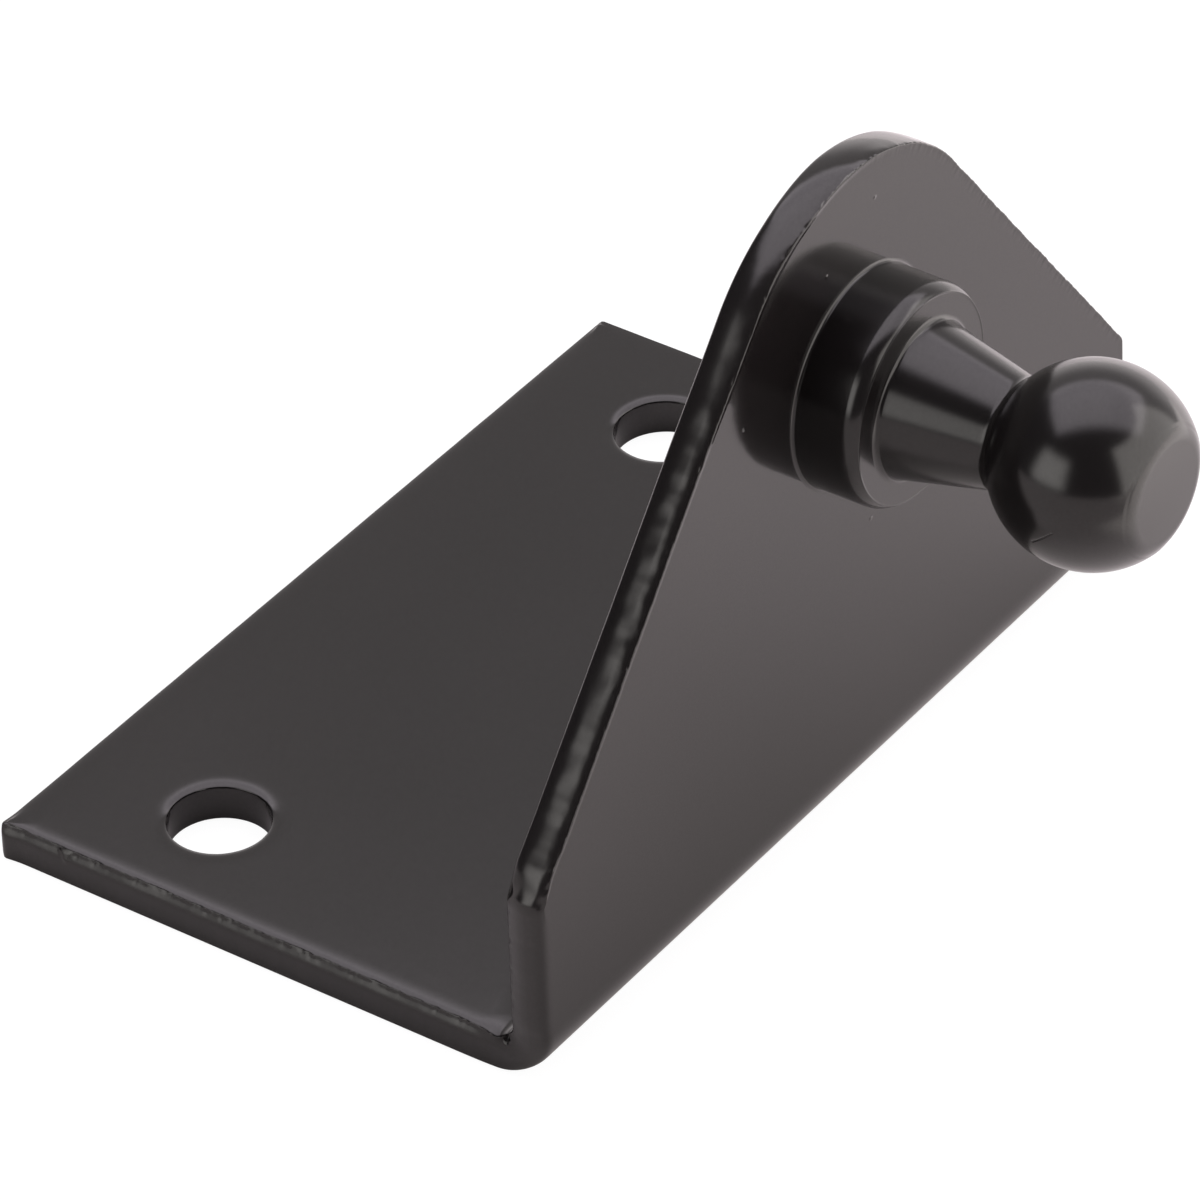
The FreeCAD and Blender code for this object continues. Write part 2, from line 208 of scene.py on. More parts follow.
# ------------------------------------------------------------------ edge cross sections: (w, inset)
def spline(keys, k):
    """Through the keys; samples bunch up where the shape turns."""
    q = [Vector(p) for p in keys]
    q = [q[0] * 2 - q[1]] + q + [q[-1] * 2 - q[-2]]
    dense = []
    for i in range(1, len(q) - 2):
        for j in range(10):
            t_ = j / 10
            # centripetal-ish: plain linear on long spans next to short ones keeps corners tight
            a, b, c, d = q[i - 1], q[i], q[i + 1], q[i + 2]
            lb = (c - b).length
            m0 = ((b - a).normalized() + (c - b).normalized()) * .5 * lb
            m1 = ((c - b).normalized() + (d - c).normalized()) * .5 * lb
            h00, h10 = 2 * t_ ** 3 - 3 * t_ ** 2 + 1, t_ ** 3 - 2 * t_ ** 2 + t_
            h01, h11 = -2 * t_ ** 3 + 3 * t_ ** 2, t_ ** 3 - t_ ** 2
            dense.append(b * h00 + m0 * h10 + c * h01 + m1 * h11)
    dense.append(q[-2])
    s = [0.0]
    for i in range(1, len(dense)):
        u = dense[i] - dense[i - 1]
        turn_ = 0.0
        if i > 1:
            w_ = dense[i - 1] - dense[i - 2]
            if u.length > 1e-9 and w_.length > 1e-9:
                turn_ = u.angle(w_)
        s.append(s[-1] + .55 * u.length + 1.1 * turn_)
    out, j = [], 0
    for i in range(k):
        x = s[-1] * i / (k - 1)
        while j < len(s) - 2 and s[j + 1] < x:
            j += 1
        u = (x - s[j]) / max(1e-9, s[j + 1] - s[j])
        out.append(tuple(dense[j].lerp(dense[j + 1], min(1.0, u))))
    return out


K = 52


def roll(h, lam, d0, far):
    """The skin curving down towards a cut: height lost h at inset d0, fading inwards."""
    ds = [far, far * .8, far * .62, far * .47, far * .35, far * .25, far * .17, far * .10, far * .05, 0]
    return [(T - (h * math.exp(-x / lam) if x < far * .9 else 0), d0 + x) for x in ds]


# sheared ends: shallow roll on the upper skin, a crisp crest, a leaning wall; the lower skin is crisp on the base
SH_TOP = [(T, 1.2), (T - .0005, 1.04), (T - .002, .88), (T - .005, .74), (T - .009, .61), (T - .014, .51), (T - .020, .435), (T - .028, .378), (T - .038, .337), (T - .052, .309), (T - .066, .288)]
SH_WALL = [(T - .082, .271), (T - .12, .251), (T - .21, .206), (T - .32, .154), (T - .42, .105), (T - .50, .067), (T - .57, .037), (T - .64, .015), (T - .72, .005), (T - .86, .001)]
LOW = [(.5, .002), (.25, .006), (.12, .014), (.05, .03), (.015, .06), (0, .11), (0, .25), (0, .6)]
SHEAR = spline(SH_TOP + SH_WALL + [(.85, 0)] + LOW, K)
F_TOP = [(T, .95), (T, .75), (T - .001, .58), (T - .004, .47), (T - .010, .39), (T - .026, .325), (T - .050, .288), (T - .085, .262), (T - .13, .240), (T - .20, .213), (T - .29, .180),
         (T - .41, .138), (T - .55, .096), (T - .70, .057), (T - .86, .027), (T - 1.02, .010)]
SHEAR_F = spline(F_TOP + [(.90, .004), (.74, .016), (.58, .037), (.43, .070), (.30, .116), (.19, .178), (.11, .255), (.055, .35), (.02, .475), (.004, .62), (0, .8), (0, 1.0)], K)
SHEAR_R = spline(roll(.026, .20, .035, 1.2) + [(T - .036, .024), (T - .07, .012), (T - .17, .004), (T - .3, .001), (T - .6, 0), (.85, 0)] + LOW, K)
# blanked outline of the flange: rolled over on the inner skin, a crowned cut leaning back to a bright burr line on the outer one
B_TOP = [(T, 1.05), (T, .88), (T - .003, .70), (T - .009, .54), (T - .022, .40), (T - .043, .295), (T - .080, .21), (T - .135, .150), (T - .22, .106),
         (T - .34, .070), (T - .5, .040), (T - .7, .016), (T - .9, .004)]
C_TOP = [(T, .80), (T, .62), (T - .001, .48), (T - .003, .37), (T - .008, .28), (T - .018, .21), (T - .034, .162), (T - .062, .128), (T - .12, .100),
         (T - .24, .072), (T - .42, .044), (T - .66, .018), (T - .9, .004)]
B_LOW = [(1.0, 0), (.8, 0), (.66, .001), (.53, .006), (.43, .018), (.34, .038), (.26, .061), (.19, .085), (.13, .108), (.090, .124), (.055, .140), (.020, .162), (-.012, .188), (-.030, .216),
         (-.035, .240), (-.029, .275), (-.019, .328), (-.009, .382), (-.001, .43), (0, .55), (0, .8)]
C_LOW = [(1.0, .002), (.85, .008), (.7, .021), (.57, .039), (.45, .063), (.35, .088), (.26, .115), (.19, .138), (.13, .158), (.090, .173), (.055, .190), (.020, .212), (-.012, .238), (-.030, .266),
         (-.035, .290), (-.029, .325), (-.019, .378), (-.009, .432), (-.001, .48), (0, .6), (0, .8)]
BLANK = spline(B_TOP + B_LOW, K)
BLANK_C = spline(C_TOP + C_LOW, K)
BLANK_M = spline(B_TOP + C_LOW, K)
BLANK_R = spline(C_TOP + [(1.0, 0), (.8, 0), (.6, .001), (.42, .003), (.27, .006), (.15, .012), (.07, .022), (.026, .038), (.004, .06), (-.006, .09), (-.007, .13),
                          (-.004, .18), (0, .25), (0, .34), (0, .48), (0, .8)], K)
# free long edge
FREE = spline(roll(.095, .30, .070, 1.3) + [(T - .112, .052), (T - .15, .034), (T - .25, .018), (T - .45, .004), (T - .8, 0), (.7, 0), (.35, .006), (.18, .02), (.08, .05), (.02, .10),
                                            (0, .17), (0, .32), (0, .6)], K)
MOUTH = spline(roll(.088, .165, .040, 1.15) + [(T - .102, .026), (T - .13, .012), (T - .19, .002), (T - .35, 0), (T - .8, 0), (.9, 0), (.5, 0), (.3, -.004), (.18, -.004),
                                              (.10, .006), (.05, .03), (.015, .07), (0, .13), (0, .28), (0, .5)], K)
PLAIN = spline([(T, .6), (T, .45), (T - .01, .2), (T - .05, .07), (T - .12, .01), (T - .25, 0), (1.2, 0), (.6, 0), (.25, 0), (.12, .01),
                (.05, .05), (.01, .12), (0, .3), (0, .5)], K)


def edge_kind(p, n):
    """Blend weights for shear / blank / free at one outline point."""
    v_low = v_of_z(LOW_L) if p.x < 0 else v_of_z(LOW_R)
    free = smooth(0.2, 1.0, -n.y) if p.y < V_FREE + 1.5 else 0.0
    c = -0.35
    blank = smooth(v_low - .85, v_low + .1, p.y) if p.x < 0 else smooth(v_low - .9, v_low + .9, p.y)
    shear = max(0.0, 1 - free - blank)
    return shear, blank, free


rs = np.random.RandomState(11)


def make_nicks(length, mean_gap, w0, w1, d0, d1):
    out, s = [], 0.0
    while s < length:
        s += mean_gap * (0.3 + 1.4 * rs.rand())
        out.append((s, w0 + (w1 - w0) * rs.rand(), d0 + (d1 - d0) * rs.rand() ** 2, rs.rand()))
    return out


NICK_S = make_nicks(PERIM, 1.1, .05, .12, .004, .040)
NICK_B = make_nicks(PERIM, 2.6, .10, .30, .02, .07)


def nick_sum(nicks, s, per):
    t_ = 0.0
    for c, w_, d_, _ in nicks:
        q = abs(s - c)
        q = min(q, per - q)
        if q < 3 * w_:
            t_ += d_ * math.exp(-(q / w_) ** 2)
    return t_


def crest_weight(k, prof, w_c, width):
    return math.exp(-((prof[k][0] - w_c) / width) ** 2)


class Sheet:
    def __init__(self):
        self.flat = []          # (x, v, w) per vertex
        self.faces = []

    def add(self, x, v, w):
        self.flat.append([x, v, w])
        return len(self.flat) - 1


S = Sheet()


def loop_rings(pts, nrm, prof_fn):
    rings = []
    n = len(pts)
    cols = [prof_fn(i, pts[i], nrm[i]) for i in range(n)]
    for k in range(K):
        ring = []
        for i in range(n):
            w, d = cols[i][k]
            ring.append(S.add(pts[i].x - nrm[i].x * d, pts[i].y - nrm[i].y * d, w))
        rings.append(ring)
    for r0, r1 in zip(rings, rings[1:]):
        for i in range(n):
            j = (i + 1) % n
            S.faces.append((r0[i], r0[j], r1[j], r1[i]))
    return rings


out_n = normals(outline)
seg_s = [PERIM * i / N_OUT for i in range(N_OUT)]

# how far in the edge shape may reach without folding over itself at a tight corner
turn = [math.atan2(out_n[i - 1].x * out_n[(i + 1) % N_OUT].y - out_n[i - 1].y * out_n[(i + 1) % N_OUT].x,
                   out_n[i - 1].dot(out_n[(i + 1) % N_OUT])) for i in range(N_OUT)]
loc_r = [min(9.0, 2 * PERIM / N_OUT / max(1e-4, abs(t_))) for t_ in turn]
wn = int(1.3 / (PERIM / N_OUT)) + 1
reach = [max(.235, min(1.6, .80 * min(loc_r[(i + j) % N_OUT] for j in range(-3, 4)))) for i in range(N_OUT)]
reach = [min(reach[(i + j) % N_OUT] + 1.1 * (abs(j) * PERIM / N_OUT) ** 1.0 for j in range(-2 * wn, 2 * wn + 1)) for i in range(N_OUT)]
D_KEEP, D_MAX = .20, 1.6


def squeeze(d, lim):
    if d <= D_KEEP or lim >= D_MAX:
        return d
    return D_KEEP + (d - D_KEEP) * (lim - D_KEEP) / (D_MAX - D_KEEP)


CHIP = (-25.73, -25.02)               # developed v of a torn flap under the crest at the left end


def outer_profile(i, p, n):
    sh, bl, fr = edge_kind(p, n)
    s = seg_s[i]
    rag = fbm(s, 1.0, 1.6, 4)
    rag2 = fbm(s, 2.0, 5.5, 3)
    wav = fbm(s, 3.0, 0.35, 2)
    wv2 = fbm(s, 5.0, 1.05, 2)
    nk = nick_sum(NICK_S, s, PERIM)
    nb = nick_sum(NICK_B, s, PERIM)
    onfl = smooth(-.1, 1.7, p.y)
    far = smooth(-1, 1, p.x)
    rgt = smooth(-.1, .5, n.x)
    twist = .03 * smooth(14, 26, p.y) * smooth(.2, .6, -n.x)
    cor = math.exp(-((p.x + HX) ** 2 + (p.y - V_FREE + .33) ** 2) / .5)
    crn = smooth(-3.5, 2.0, p.x) * smooth(v_of_z(29.5), v_of_z(33.5), p.y)
    crm = smooth(v_of_z(27.0), v_of_z(32.5), p.y)
    off = .12 - .085 * crm * (1 - crn) * (1 - rgt)
    cb = math.exp(-((p.y + .05) / .75) ** 2) * (1.0 if p.x < 0 else 0)
    nose = math.exp(-((p.y - v_of_z(LOW_L - .45)) / .5) ** 2) * (1 if p.x < 0 else 0)
    out_f = .17 * smooth(LB * .55, LB + 1.2, p.y) * (1 - far) + .045 * (1 - far)
    out = []
    for k in range(K):
        ws, ds = SHEAR[k]
        wq, dq = SHEAR_F[k]
        ws, ds = ws + (wq - ws) * onfl, ds + (dq - ds) * onfl
        wq, dq = SHEAR_R[k]
        ws, ds = ws + (wq - ws) * far, ds + (dq - ds) * far
        g = math.exp(-((ws - (T - .105)) / .045) ** 2) * (1 - .7 * far) if ds < .6 else 0
        g2 = math.exp(-((ws - (T - .20)) / .10) ** 2) * (1 - .7 * far) if ds < .6 else 0
        g3 = smooth(.1, .4, ws) * (1 - smooth(T - .5, T - .15, ws))
        ws2 = ws + g * (.026 * rag + .020 * rag2)
        ds2 = ds + g * (.034 * rag2 - .012) + g2 * nk + .010 * wav * smooth(.2, 1.6, ws) + .012 * wv2 * g3
        ds2 -= .10 * cor + out_f + .17 * far
        if cb > .01 and ws > T - .7:
            # the skin droops more where the cut runs into the bend
            hh = smooth(T - .65, T - .16, ws)
            ws2 -= .075 * cb * hh * math.exp(-max(0.0, ds - .25) / .38)
            ds2 -= .12 * cb * hh * math.exp(-max(0.0, ds - .3) / .3)
        if p.x < -HX + 1 and p.y < 0:
            # torn flap: a thin triangle standing proud of the cut, point down
            u = (p.y - CHIP[0]) / (CHIP[1] - CHIP[0])
            if -.2 < u < 1.2 and ds < .5:
                top, low = T - .17, T - .17 - .62 * (1 - abs(u - .72) / (.72 if u < .72 else .28))
                inside_ = smooth(low - .05, low + .02, ws) * (1 - smooth(top - .02, top + .05, ws)) if low < top else 0
                ds2 -= .055 * inside_
        wb, db = BLANK[k]
        wq, dq = BLANK_M[k]
        wb, db = wb + (wq - wb) * crm, db + (dq - db) * crm
        wq, dq = BLANK_C[k]
        wb, db = wb + (wq - wb) * crn, db + (dq - db) * crn
        wq, dq = BLANK_R[k]
        wb, db = wb + (wq - wb) * rgt, db + (dq - db) * rgt
        gb = math.exp(-((wb - .02) / .07) ** 2) * (1 - smooth(.28, .55, db))
        gm = smooth(.05, .5, wb) * (1 - smooth(T - .55, T - .15, wb))
        gl = math.exp(-((wb - .1) / .35) ** 2)
        wc = noise.noise(Vector((s * .85, wb * .9, 4.4)))
        db2 = db + gb * (.016 * rag2 + .010 * rag + .7 * nb) + .012 * wav + gm * (.009 * wv2 + .032 * wc) * (1 - .6 * rgt) * (1 - .7 * crm) + gl * .036 * fbm(s, 8.0, .62, 2) + nose * .16 * ((wb - .85) / .8) ** 2 * (1 if wb < 1.9 else 0)
        db2 += twist * (wb - 1.0) - off
        wb2 = wb + gb * .010 * rag2
        wf, df = FREE[k]
        df2 = df + .01 * wav - .10 * cor
        out.append((ws2 * sh + wb2 * bl + wf * fr, squeeze(ds2 * sh + db2 * bl + df2 * fr, reach[i])))
    return out


outer = loop_rings(outline, out_n, outer_profile)


def circle_loop(cx, cy, r, step):
    n = max(40, int(2 * PI * r / step))
    # clockwise, so the material's outward normal points to the centre
    pts = [Vector((cx + r * math.cos(-2 * PI * i / n), cy + r * math.sin(-2 * PI * i / n))) for i in range(n)]
    nr = [Vector((cx - p.x, cy - p.y)).normalized() for p in pts]
    return pts, nr


hole_v = -(0.0 - YO - RO)              # developed coordinate of the hole line (y = 0)
loops = []
for sx, seed in ((-1, 21), (1, 22)):
    cx, cy = HOLE_C[0] + sx * PITCH / 2, hole_v
    pts, nr = circle_loop(cx, cy, HOLE_R, STEP * 0.7)

    def mouth(i, p, n, seed=seed, m=len(pts)):
        a = 2 * PI * i / m
        q = noise.noise(Vector((math.cos(a) * 2, math.sin(a) * 2, seed)))
        q2 = noise.noise(Vector((math.cos(a) * 9, math.sin(a) * 9, seed)))
        o = []
        for k in range(K):
            w, d = MOUTH[k]
            g = math.exp(-((w - (T - .2)) / .12) ** 2)
            o.append((w, d * (1 + .10 * q) + g * .012 * q2))
        return o
    loops.append(((cx, cy, HOLE_R), loop_rings(pts, nr, mouth)))
pts, nr = circle_loop(BALL_C[0], v_of_z(BALL_C[2]), RIVET_R, STEP)
loops.append(((BALL_C[0], v_of_z(BALL_C[2]), RIVET_R), loop_rings(pts, nr, lambda i, p, n: PLAIN)))


def inside(poly_, x, y):
    c = False
    n = len(poly_)
    j = n - 1
    for i in range(n):
        xi, yi = poly_[i]
        xj, yj = poly_[j]
        if (yi > y) != (yj > y) and x < (xj - xi) * (y - yi) / (yj - yi) + xi:
            c = not c
        j = i
    return c


def inside_many(poly_, pts_):
    q = np.array(poly_)
    c = np.zeros(len(pts_), bool)
    j = len(q) - 1
    for i in range(len(q)):
        if q[i, 1] != q[j, 1]:
            cross = (q[i, 1] > pts_[:, 1]) != (q[j, 1] > pts_[:, 1])
            xi = (q[j, 0] - q[i, 0]) * (pts_[:, 1] - q[i, 1]) / (q[j, 1] - q[i, 1]) + q[i, 0]
            c ^= cross & (pts_[:, 0] < xi)
        j = i
    return c


def cap(which, w):
    """Fill one skin between the inner ends of the edge rings."""
    rings = [outer[which]] + [l[1][which] for l in loops]
    verts, edges, ids = [], [], []
    for r in rings:
        b = len(verts)
        for q in r:
            verts.append(Vector((S.flat[q][0], S.flat[q][1])))
            ids.append(q)
        n = len(r)
        edges += [(b + i, b + (i + 1) % n) for i in range(n)]
    border = [(S.flat[q][0], S.flat[q][1]) for q in outer[which]]
    coarse = border[::6]
    gx = 1.6
    rows = list(np.arange(V_FREE + 1.5, -0.3, 1.6)) + list(np.linspace(0, LB, 25)) + list(np.arange(LB + .3, v_of_z(TOP) - 1.2, 1.6))
    gap = 0.45
    for iv, v in enumerate(rows):
        for x in np.arange(-HX + 1.6, HX - 1.5, gx):
            xx = x + (0.3 if iv % 2 else 0)
            if not inside(coarse, xx, v):
                continue
            if min((xx - bx) ** 2 + (v - by) ** 2 for bx, by in coarse) < gap ** 2 * 2:
                continue
            if any(math.hypot(xx - c[0], v - c[1]) < c[2] + 1.35 + .5 for c, _ in loops):
                continue
            verts.append(Vector((xx, v)))
            ids.append(S.add(xx, v, w))
    # the bend's own end points are ring vertices already
    res = geometry.delaunay_2d_cdt(verts, edges, [], 0, 1e-6, True)
    ov, _, of, orig = res[0], res[1], res[2], res[3]
    remap = []
    for i, o in enumerate(ov):
        if orig[i]:
            remap.append(ids[orig[i][0]])
        else:
            remap.append(S.add(o.x, o.y, w))
    cen = np.array([[sum(ov[i].x for i in f) / len(f), sum(ov[i].y for i in f) / len(f)] for f in of])
    keep = inside_many(border, cen)
    for r in rings[1:]:
        keep &= ~inside_many([(S.flat[q][0], S.flat[q][1]) for q in r], cen)
    for f, k_ in zip(of, keep):
        if k_:
            S.faces.append(tuple(remap[i] for i in f))


cap(0, T)
cap(K - 1, 0.0)

# the bend swells past the sheared ends on its inner side, and is drawn in on the outer one
PIT = (1.05, T - .17)
co = []
for x, v, w in S.flat:
    e = math.exp(-max(0.0, HX - abs(x)) / 1.1)
    bend = math.exp(-((v - LB * .5) / 1.7) ** 2)
    dx = (.13 if x > 0 else .07 if w > .42 * T else .15) * bend * (w / T - .42) * 2 * e
    x2 = x + (dx if x > 0 else -dx)
    # a small pit where the cut met the inner corner of the bend
    if x < -HX + .8:
        q = ((v - PIT[0]) * .56 / .15) ** 2 + ((w - PIT[1]) / (.115 if w > PIT[1] else .19)) ** 2
        x2 += .27 * math.exp(-q ** 1.5) * math.exp(-max(0.0, x + HX - .1) / .4)
    co.append(tuple(c * MM for c in fold(x2, v, w)))


def new_object(name, verts, faces):
    me = bpy.data.meshes.new(name)
    bm = bmesh.new()
    bv = [bm.verts.new(c) for c in verts]
    for f in faces:
        if len(set(f)) == len(f):
            try:
                bm.faces.new([bv[i] for i in f])
            except ValueError:
                pass
    loose = [v_ for v_ in bm.verts if not v_.link_faces]
    bmesh.ops.delete(bm, geom=loose, context="VERTS")
    bmesh.ops.recalc_face_normals(bm, faces=bm.faces[:])
    open_e = [e for e in bm.edges if len(e.link_faces) != 2]
    print(name, "verts", len(bm.verts), "faces", len(bm.faces), "open edges", len(open_e), "volume mm3", round(bm.calc_volume() * 1e9, 1))
    for f in bm.faces:
        f.smooth = True
    bm.to_mesh(me)
    bm.free()
    o = bpy.data.objects.new(name, me)
    scene.collection.objects.link(o)
    return o


plate = new_object("plate_body", co, S.faces)

# ------------------------------------------------------------------ ball stud, turned about its own axis
FLAT = BALL_C[1] - S_LO[1]                       # ball centre to flat end
OUT = YO - BALL_C[1]                             # ball centre to the flange
HEAD = S_HI[1] - YO - T                          # height of the riveted head
COLLAR_R = S_HI[0] - BALL_C[0]
CL, NR, NT = 3.5, 3.955, 2.75


def profile():
    """(radius, distance out from the flange's outer face) from the flat end round to the riveted head."""
    pts = []

    def arc_(cx, cy, r, a0, a1, n, skip=0):
        for i in range(skip, n + 1):
            a = math.radians(a0 + (a1 - a0) * i / n)
            pts.append((cx + r * math.cos(a), cy + r * math.sin(a)))
    q = 2
    # flat end, very slightly domed, with a soft edge
    fr = 1.15
    ycen = OUT + FLAT - fr
    xcen = math.sqrt((BALL_R - fr) ** 2 - (FLAT - fr) ** 2)
    ae = math.degrees(math.atan2(FLAT - fr, xcen))
    for i in range(14 * q):
        r = xcen * i / (14 * q)
        pts.append((r, OUT + FLAT - .035 * (r / xcen) ** 2))
    n0 = len(pts)
    arc_(xcen, ycen - .035, fr, 90, ae, 14 * q)
    # ball
    bfl = .55
    cone = Vector((NT - NR, (OUT - math.sqrt(BALL_R ** 2 - NT ** 2)) - CL)).normalized()
    nrm = Vector((cone.y, -cone.x))
    if nrm.x < 0:
        nrm = -nrm
    s0 = Vector((NR, CL)) + nrm * bfl
    d = s0 - Vector((0, OUT))
    kb = d.dot(cone)
    kk = -kb - math.sqrt(kb * kb - (d.length_squared - (BALL_R + bfl) ** 2))
    cb = s0 + cone * kk
    a_end = math.degrees(math.atan2(cb.y - OUT, cb.x))
    arc_(0, OUT, BALL_R, ae - .8, a_end, 60 * q, 1)
    # fillet between ball and neck
    a0 = math.degrees(math.atan2(OUT - cb.y, -cb.x))
    a1 = math.degrees(math.atan2(-nrm.y, -nrm.x))
    if a1 < 0:
        a1 += 360
    if a0 < 0:
        a0 += 360
    arc_(cb.x, cb.y, bfl, a0, a1, 10 * q, 1)
    # neck, down to its root fillet
    nf = .32
    cy = CL + nf
    cx = NR + (nf - (cy - CL) * nrm.y) / nrm.x
    st = Vector((pts[-1][0], pts[-1][1]))
    en = Vector((cx, cy)) - nrm * nf
    for i in range(1, 16 * q):
        pts.append(tuple(st.lerp(en, i / (16 * q))))
    a0 = math.degrees(math.atan2(-nrm.y, -nrm.x)) % 360
    arc_(cx, cy, nf, a0, 270, 10 * q)
    # collar face with a fine raised line where the shoulder starts
    sh, sa = 1.15, 42.0                              # shoulder radius and how far round it goes
    r_in = cx
    r_out = COLLAR_R - sh + sh * math.cos(math.radians(sa))
    c0 = CL - .02 - sh * math.sin(math.radians(sa))  # where the shoulder starts
    for i in range(1, 14 * q):
        u = i / (14 * q)
        pts.append((r_in + (r_out - .04 - r_in) * u ** .7, CL + .026 * math.exp(-((1 - u ** .7) * (r_out - .04 - r_in) / .045) ** 2)))
    pts.append((r_out - .022, CL + .026))
    pts.append((r_out - .008, CL + .014))
    for i in range(0, 16 * q + 1):
        a = math.radians(sa * (1 - i / (16 * q)))
        pts.append((COLLAR_R - sh + sh * math.cos(a), c0 + sh * math.sin(a)))
    # side of the collar
    bf = .2
    for i in range(1, 10 * q):
        pts.append((COLLAR_R, c0 + (bf - c0) * i / (10 * q)))
    # paint gathered where the collar sits on the flange
    for i in range(0, 10 * q + 1):
        a = math.radians(180 + 90 * i / (10 * q))
        pts.append((COLLAR_R + bf + bf * math.cos(a), bf + bf * math.sin(a)))
    pts.append((COLLAR_R + bf, 0.0))
    for r in (5.0, 4.0, 3.3, 3.02):
        pts.append((r, 0.0))
    pts.append((3.0, -.02))
    for i in range(1, 7):
        pts.append((3.0, -T * i / 7))
    pts.append((3.0, -T + .0))
    for r in (3.3, 3.9, 4.5):
        pts.append((r, -T))
    # riveted head: short rim, dome, peened dimple
    hr, hl, hc = (4.75, HEAD, 1.1)
    rim = [(hr - .12, -T), (hr - .035, -T - .035), (hr, -T - .12), (hr, -T - (hl - hc) + .12), (hr - .02, -T - (hl - hc) - .02)]
    pts.extend(rim)
    rd = (hr * hr + hc * hc) / (2 * hc)
    yc = -T - hl + rd
    a_s = math.asin((hr - .12) / rd)
    m = 30 * q
    for i in range(m + 1):
        a = a_s * (1 - i / m)
        r = rd * math.sin(a)
        y = yc - rd * math.cos(a)
        dim = .28 * math.exp(-(r / .95) ** 4)
        pts.append((r, y + dim))
    return pts


prof = profile()
# drop repeated points
clean = [prof[0]]
for p in prof[1:]:
    if math.hypot(p[0] - clean[-1][0], p[1] - clean[-1][1]) > 1e-4:
        clean.append(p)
prof = clean
SEG = 224
sv, sf = [], []
ring_ids = []
for k, (r, y) in enumerate(prof):
    if r < 1e-6:
        sv.append((BALL_C[0] * MM, (YO - y) * MM, BALL_C[2] * MM))
        ring_ids.append([len(sv) - 1])
        continue
    ring = []
    for i in range(SEG):
        a = 2 * PI * i / SEG
        rr = r
        # the riveted head is hand-sized: a little out of round
        if y < -T - .1:
            rr = r * (1 + .012 * math.cos(2 * a + .6) + .008 * math.cos(5 * a))
        sv.append(((BALL_C[0] + rr * math.cos(a)) * MM, (YO - y) * MM, (BALL_C[2] + rr * math.sin(a)) * MM))
        ring.append(len(sv) - 1)
    ring_ids.append(ring)
for r0, r1 in zip(ring_ids, ring_ids[1:]):
    if len(r0) == 1:
        for i in range(SEG):
            sf.append((r0[0], r1[i], r1[(i + 1) % SEG]))
    elif len(r1) == 1:
        for i in range(SEG):
            sf.append((r0[i], r1[0], r0[(i + 1) % SEG]))
    else:
        for i in range(SEG):
            j = (i + 1) % SEG
            sf.append((r0[i], r0[j], r1[j], r1[i]))
stud = new_object("stud_body", sv, sf)

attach(plate, "root")
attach(stud, "root")
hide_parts("bracket_plate")
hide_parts("ball_stud")


# ------------------------------------------------------------------ node helpers
class X:
    """Small wrapper so node maths reads as arithmetic."""

    def __init__(self, nt, sock):
        self.nt, self.s = nt, sock

    def _m(self, op, *a, clamp=False):
        n = self.nt.nodes.new("ShaderNodeMath")
        n.operation = op
        n.use_clamp = clamp
        for i, v in enumerate(a):
            if isinstance(v, X):
                self.nt.links.new(v.s, n.inputs[i])
            else:
                n.inputs[i].default_value = float(v)
        return X(self.nt, n.outputs[0])

    def __add__(self, o): return self._m("ADD", self, o)
    __radd__ = __add__
    def __sub__(self, o): return self._m("SUBTRACT", self, o)
    def __rsub__(self, o): return self._m("SUBTRACT", o, self)
    def __mul__(self, o): return self._m("MULTIPLY", self, o)
    __rmul__ = __mul__
    def __truediv__(self, o): return self._m("DIVIDE", self, o)
    def pow(self, o): return self._m("POWER", self, o)
    def max(self, o): return self._m("MAXIMUM", self, o)
    def min(self, o): return self._m("MINIMUM", self, o)
    def abs(self): return self._m("ABSOLUTE", self)
    def exp(self): return self._m("EXPONENT", self)
    def asin(self): return self._m("ARCSINE", self)
    def atan2(self, o): return self._m("ARCTAN2", self, o)

    def step(self, a, b):
        """0 at a, 1 at b, smooth between; a may be above b."""
        n = self.nt.nodes.new("ShaderNodeMapRange")
        n.interpolation_type = "SMOOTHERSTEP"
        lo, hi, t0_, t1_ = (a, b, 0.0, 1.0) if a < b else (b, a, 1.0, 0.0)
        self.nt.links.new(self.s, n.inputs["Value"])
        n.inputs["From Min"].default_value = lo
        n.inputs["From Max"].default_value = hi
        n.inputs["To Min"].default_value = t0_
        n.inputs["To Max"].default_value = t1_
        return X(self.nt, n.outputs["Result"])


def sep(nt, sock):
    n = nt.nodes.new("ShaderNodeSeparateXYZ")
    nt.links.new(sock, n.inputs[0])
    return [X(nt, o) for o in n.outputs]


def rgb_of(nt, val, col):
    """val * col as a colour socket."""
    n = nt.nodes.new("ShaderNodeCombineXYZ")
    for i in range(3):
        nt.links.new((val * col[i]).s, n.inputs[i])
    return n.outputs[0]


def vadd(nt, a, b):
    n = nt.nodes.new("ShaderNodeVectorMath")
    n.operation = "ADD"
    nt.links.new(a, n.inputs[0])
    nt.links.new(b, n.inputs[1])
    return n.outputs[0]


# ------------------------------------------------------------------ paint
def noise_tex(nt, vec, scale, detail=2.0, rough=0.5):
    n = nt.nodes.new("ShaderNodeTexNoise")
    n.inputs["Scale"].default_value = scale
    n.inputs["Detail"].default_value = detail
    n.inputs["Roughness"].default_value = rough
    nt.links.new(vec, n.inputs["Vector"])
    return X(nt, n.outputs[0])


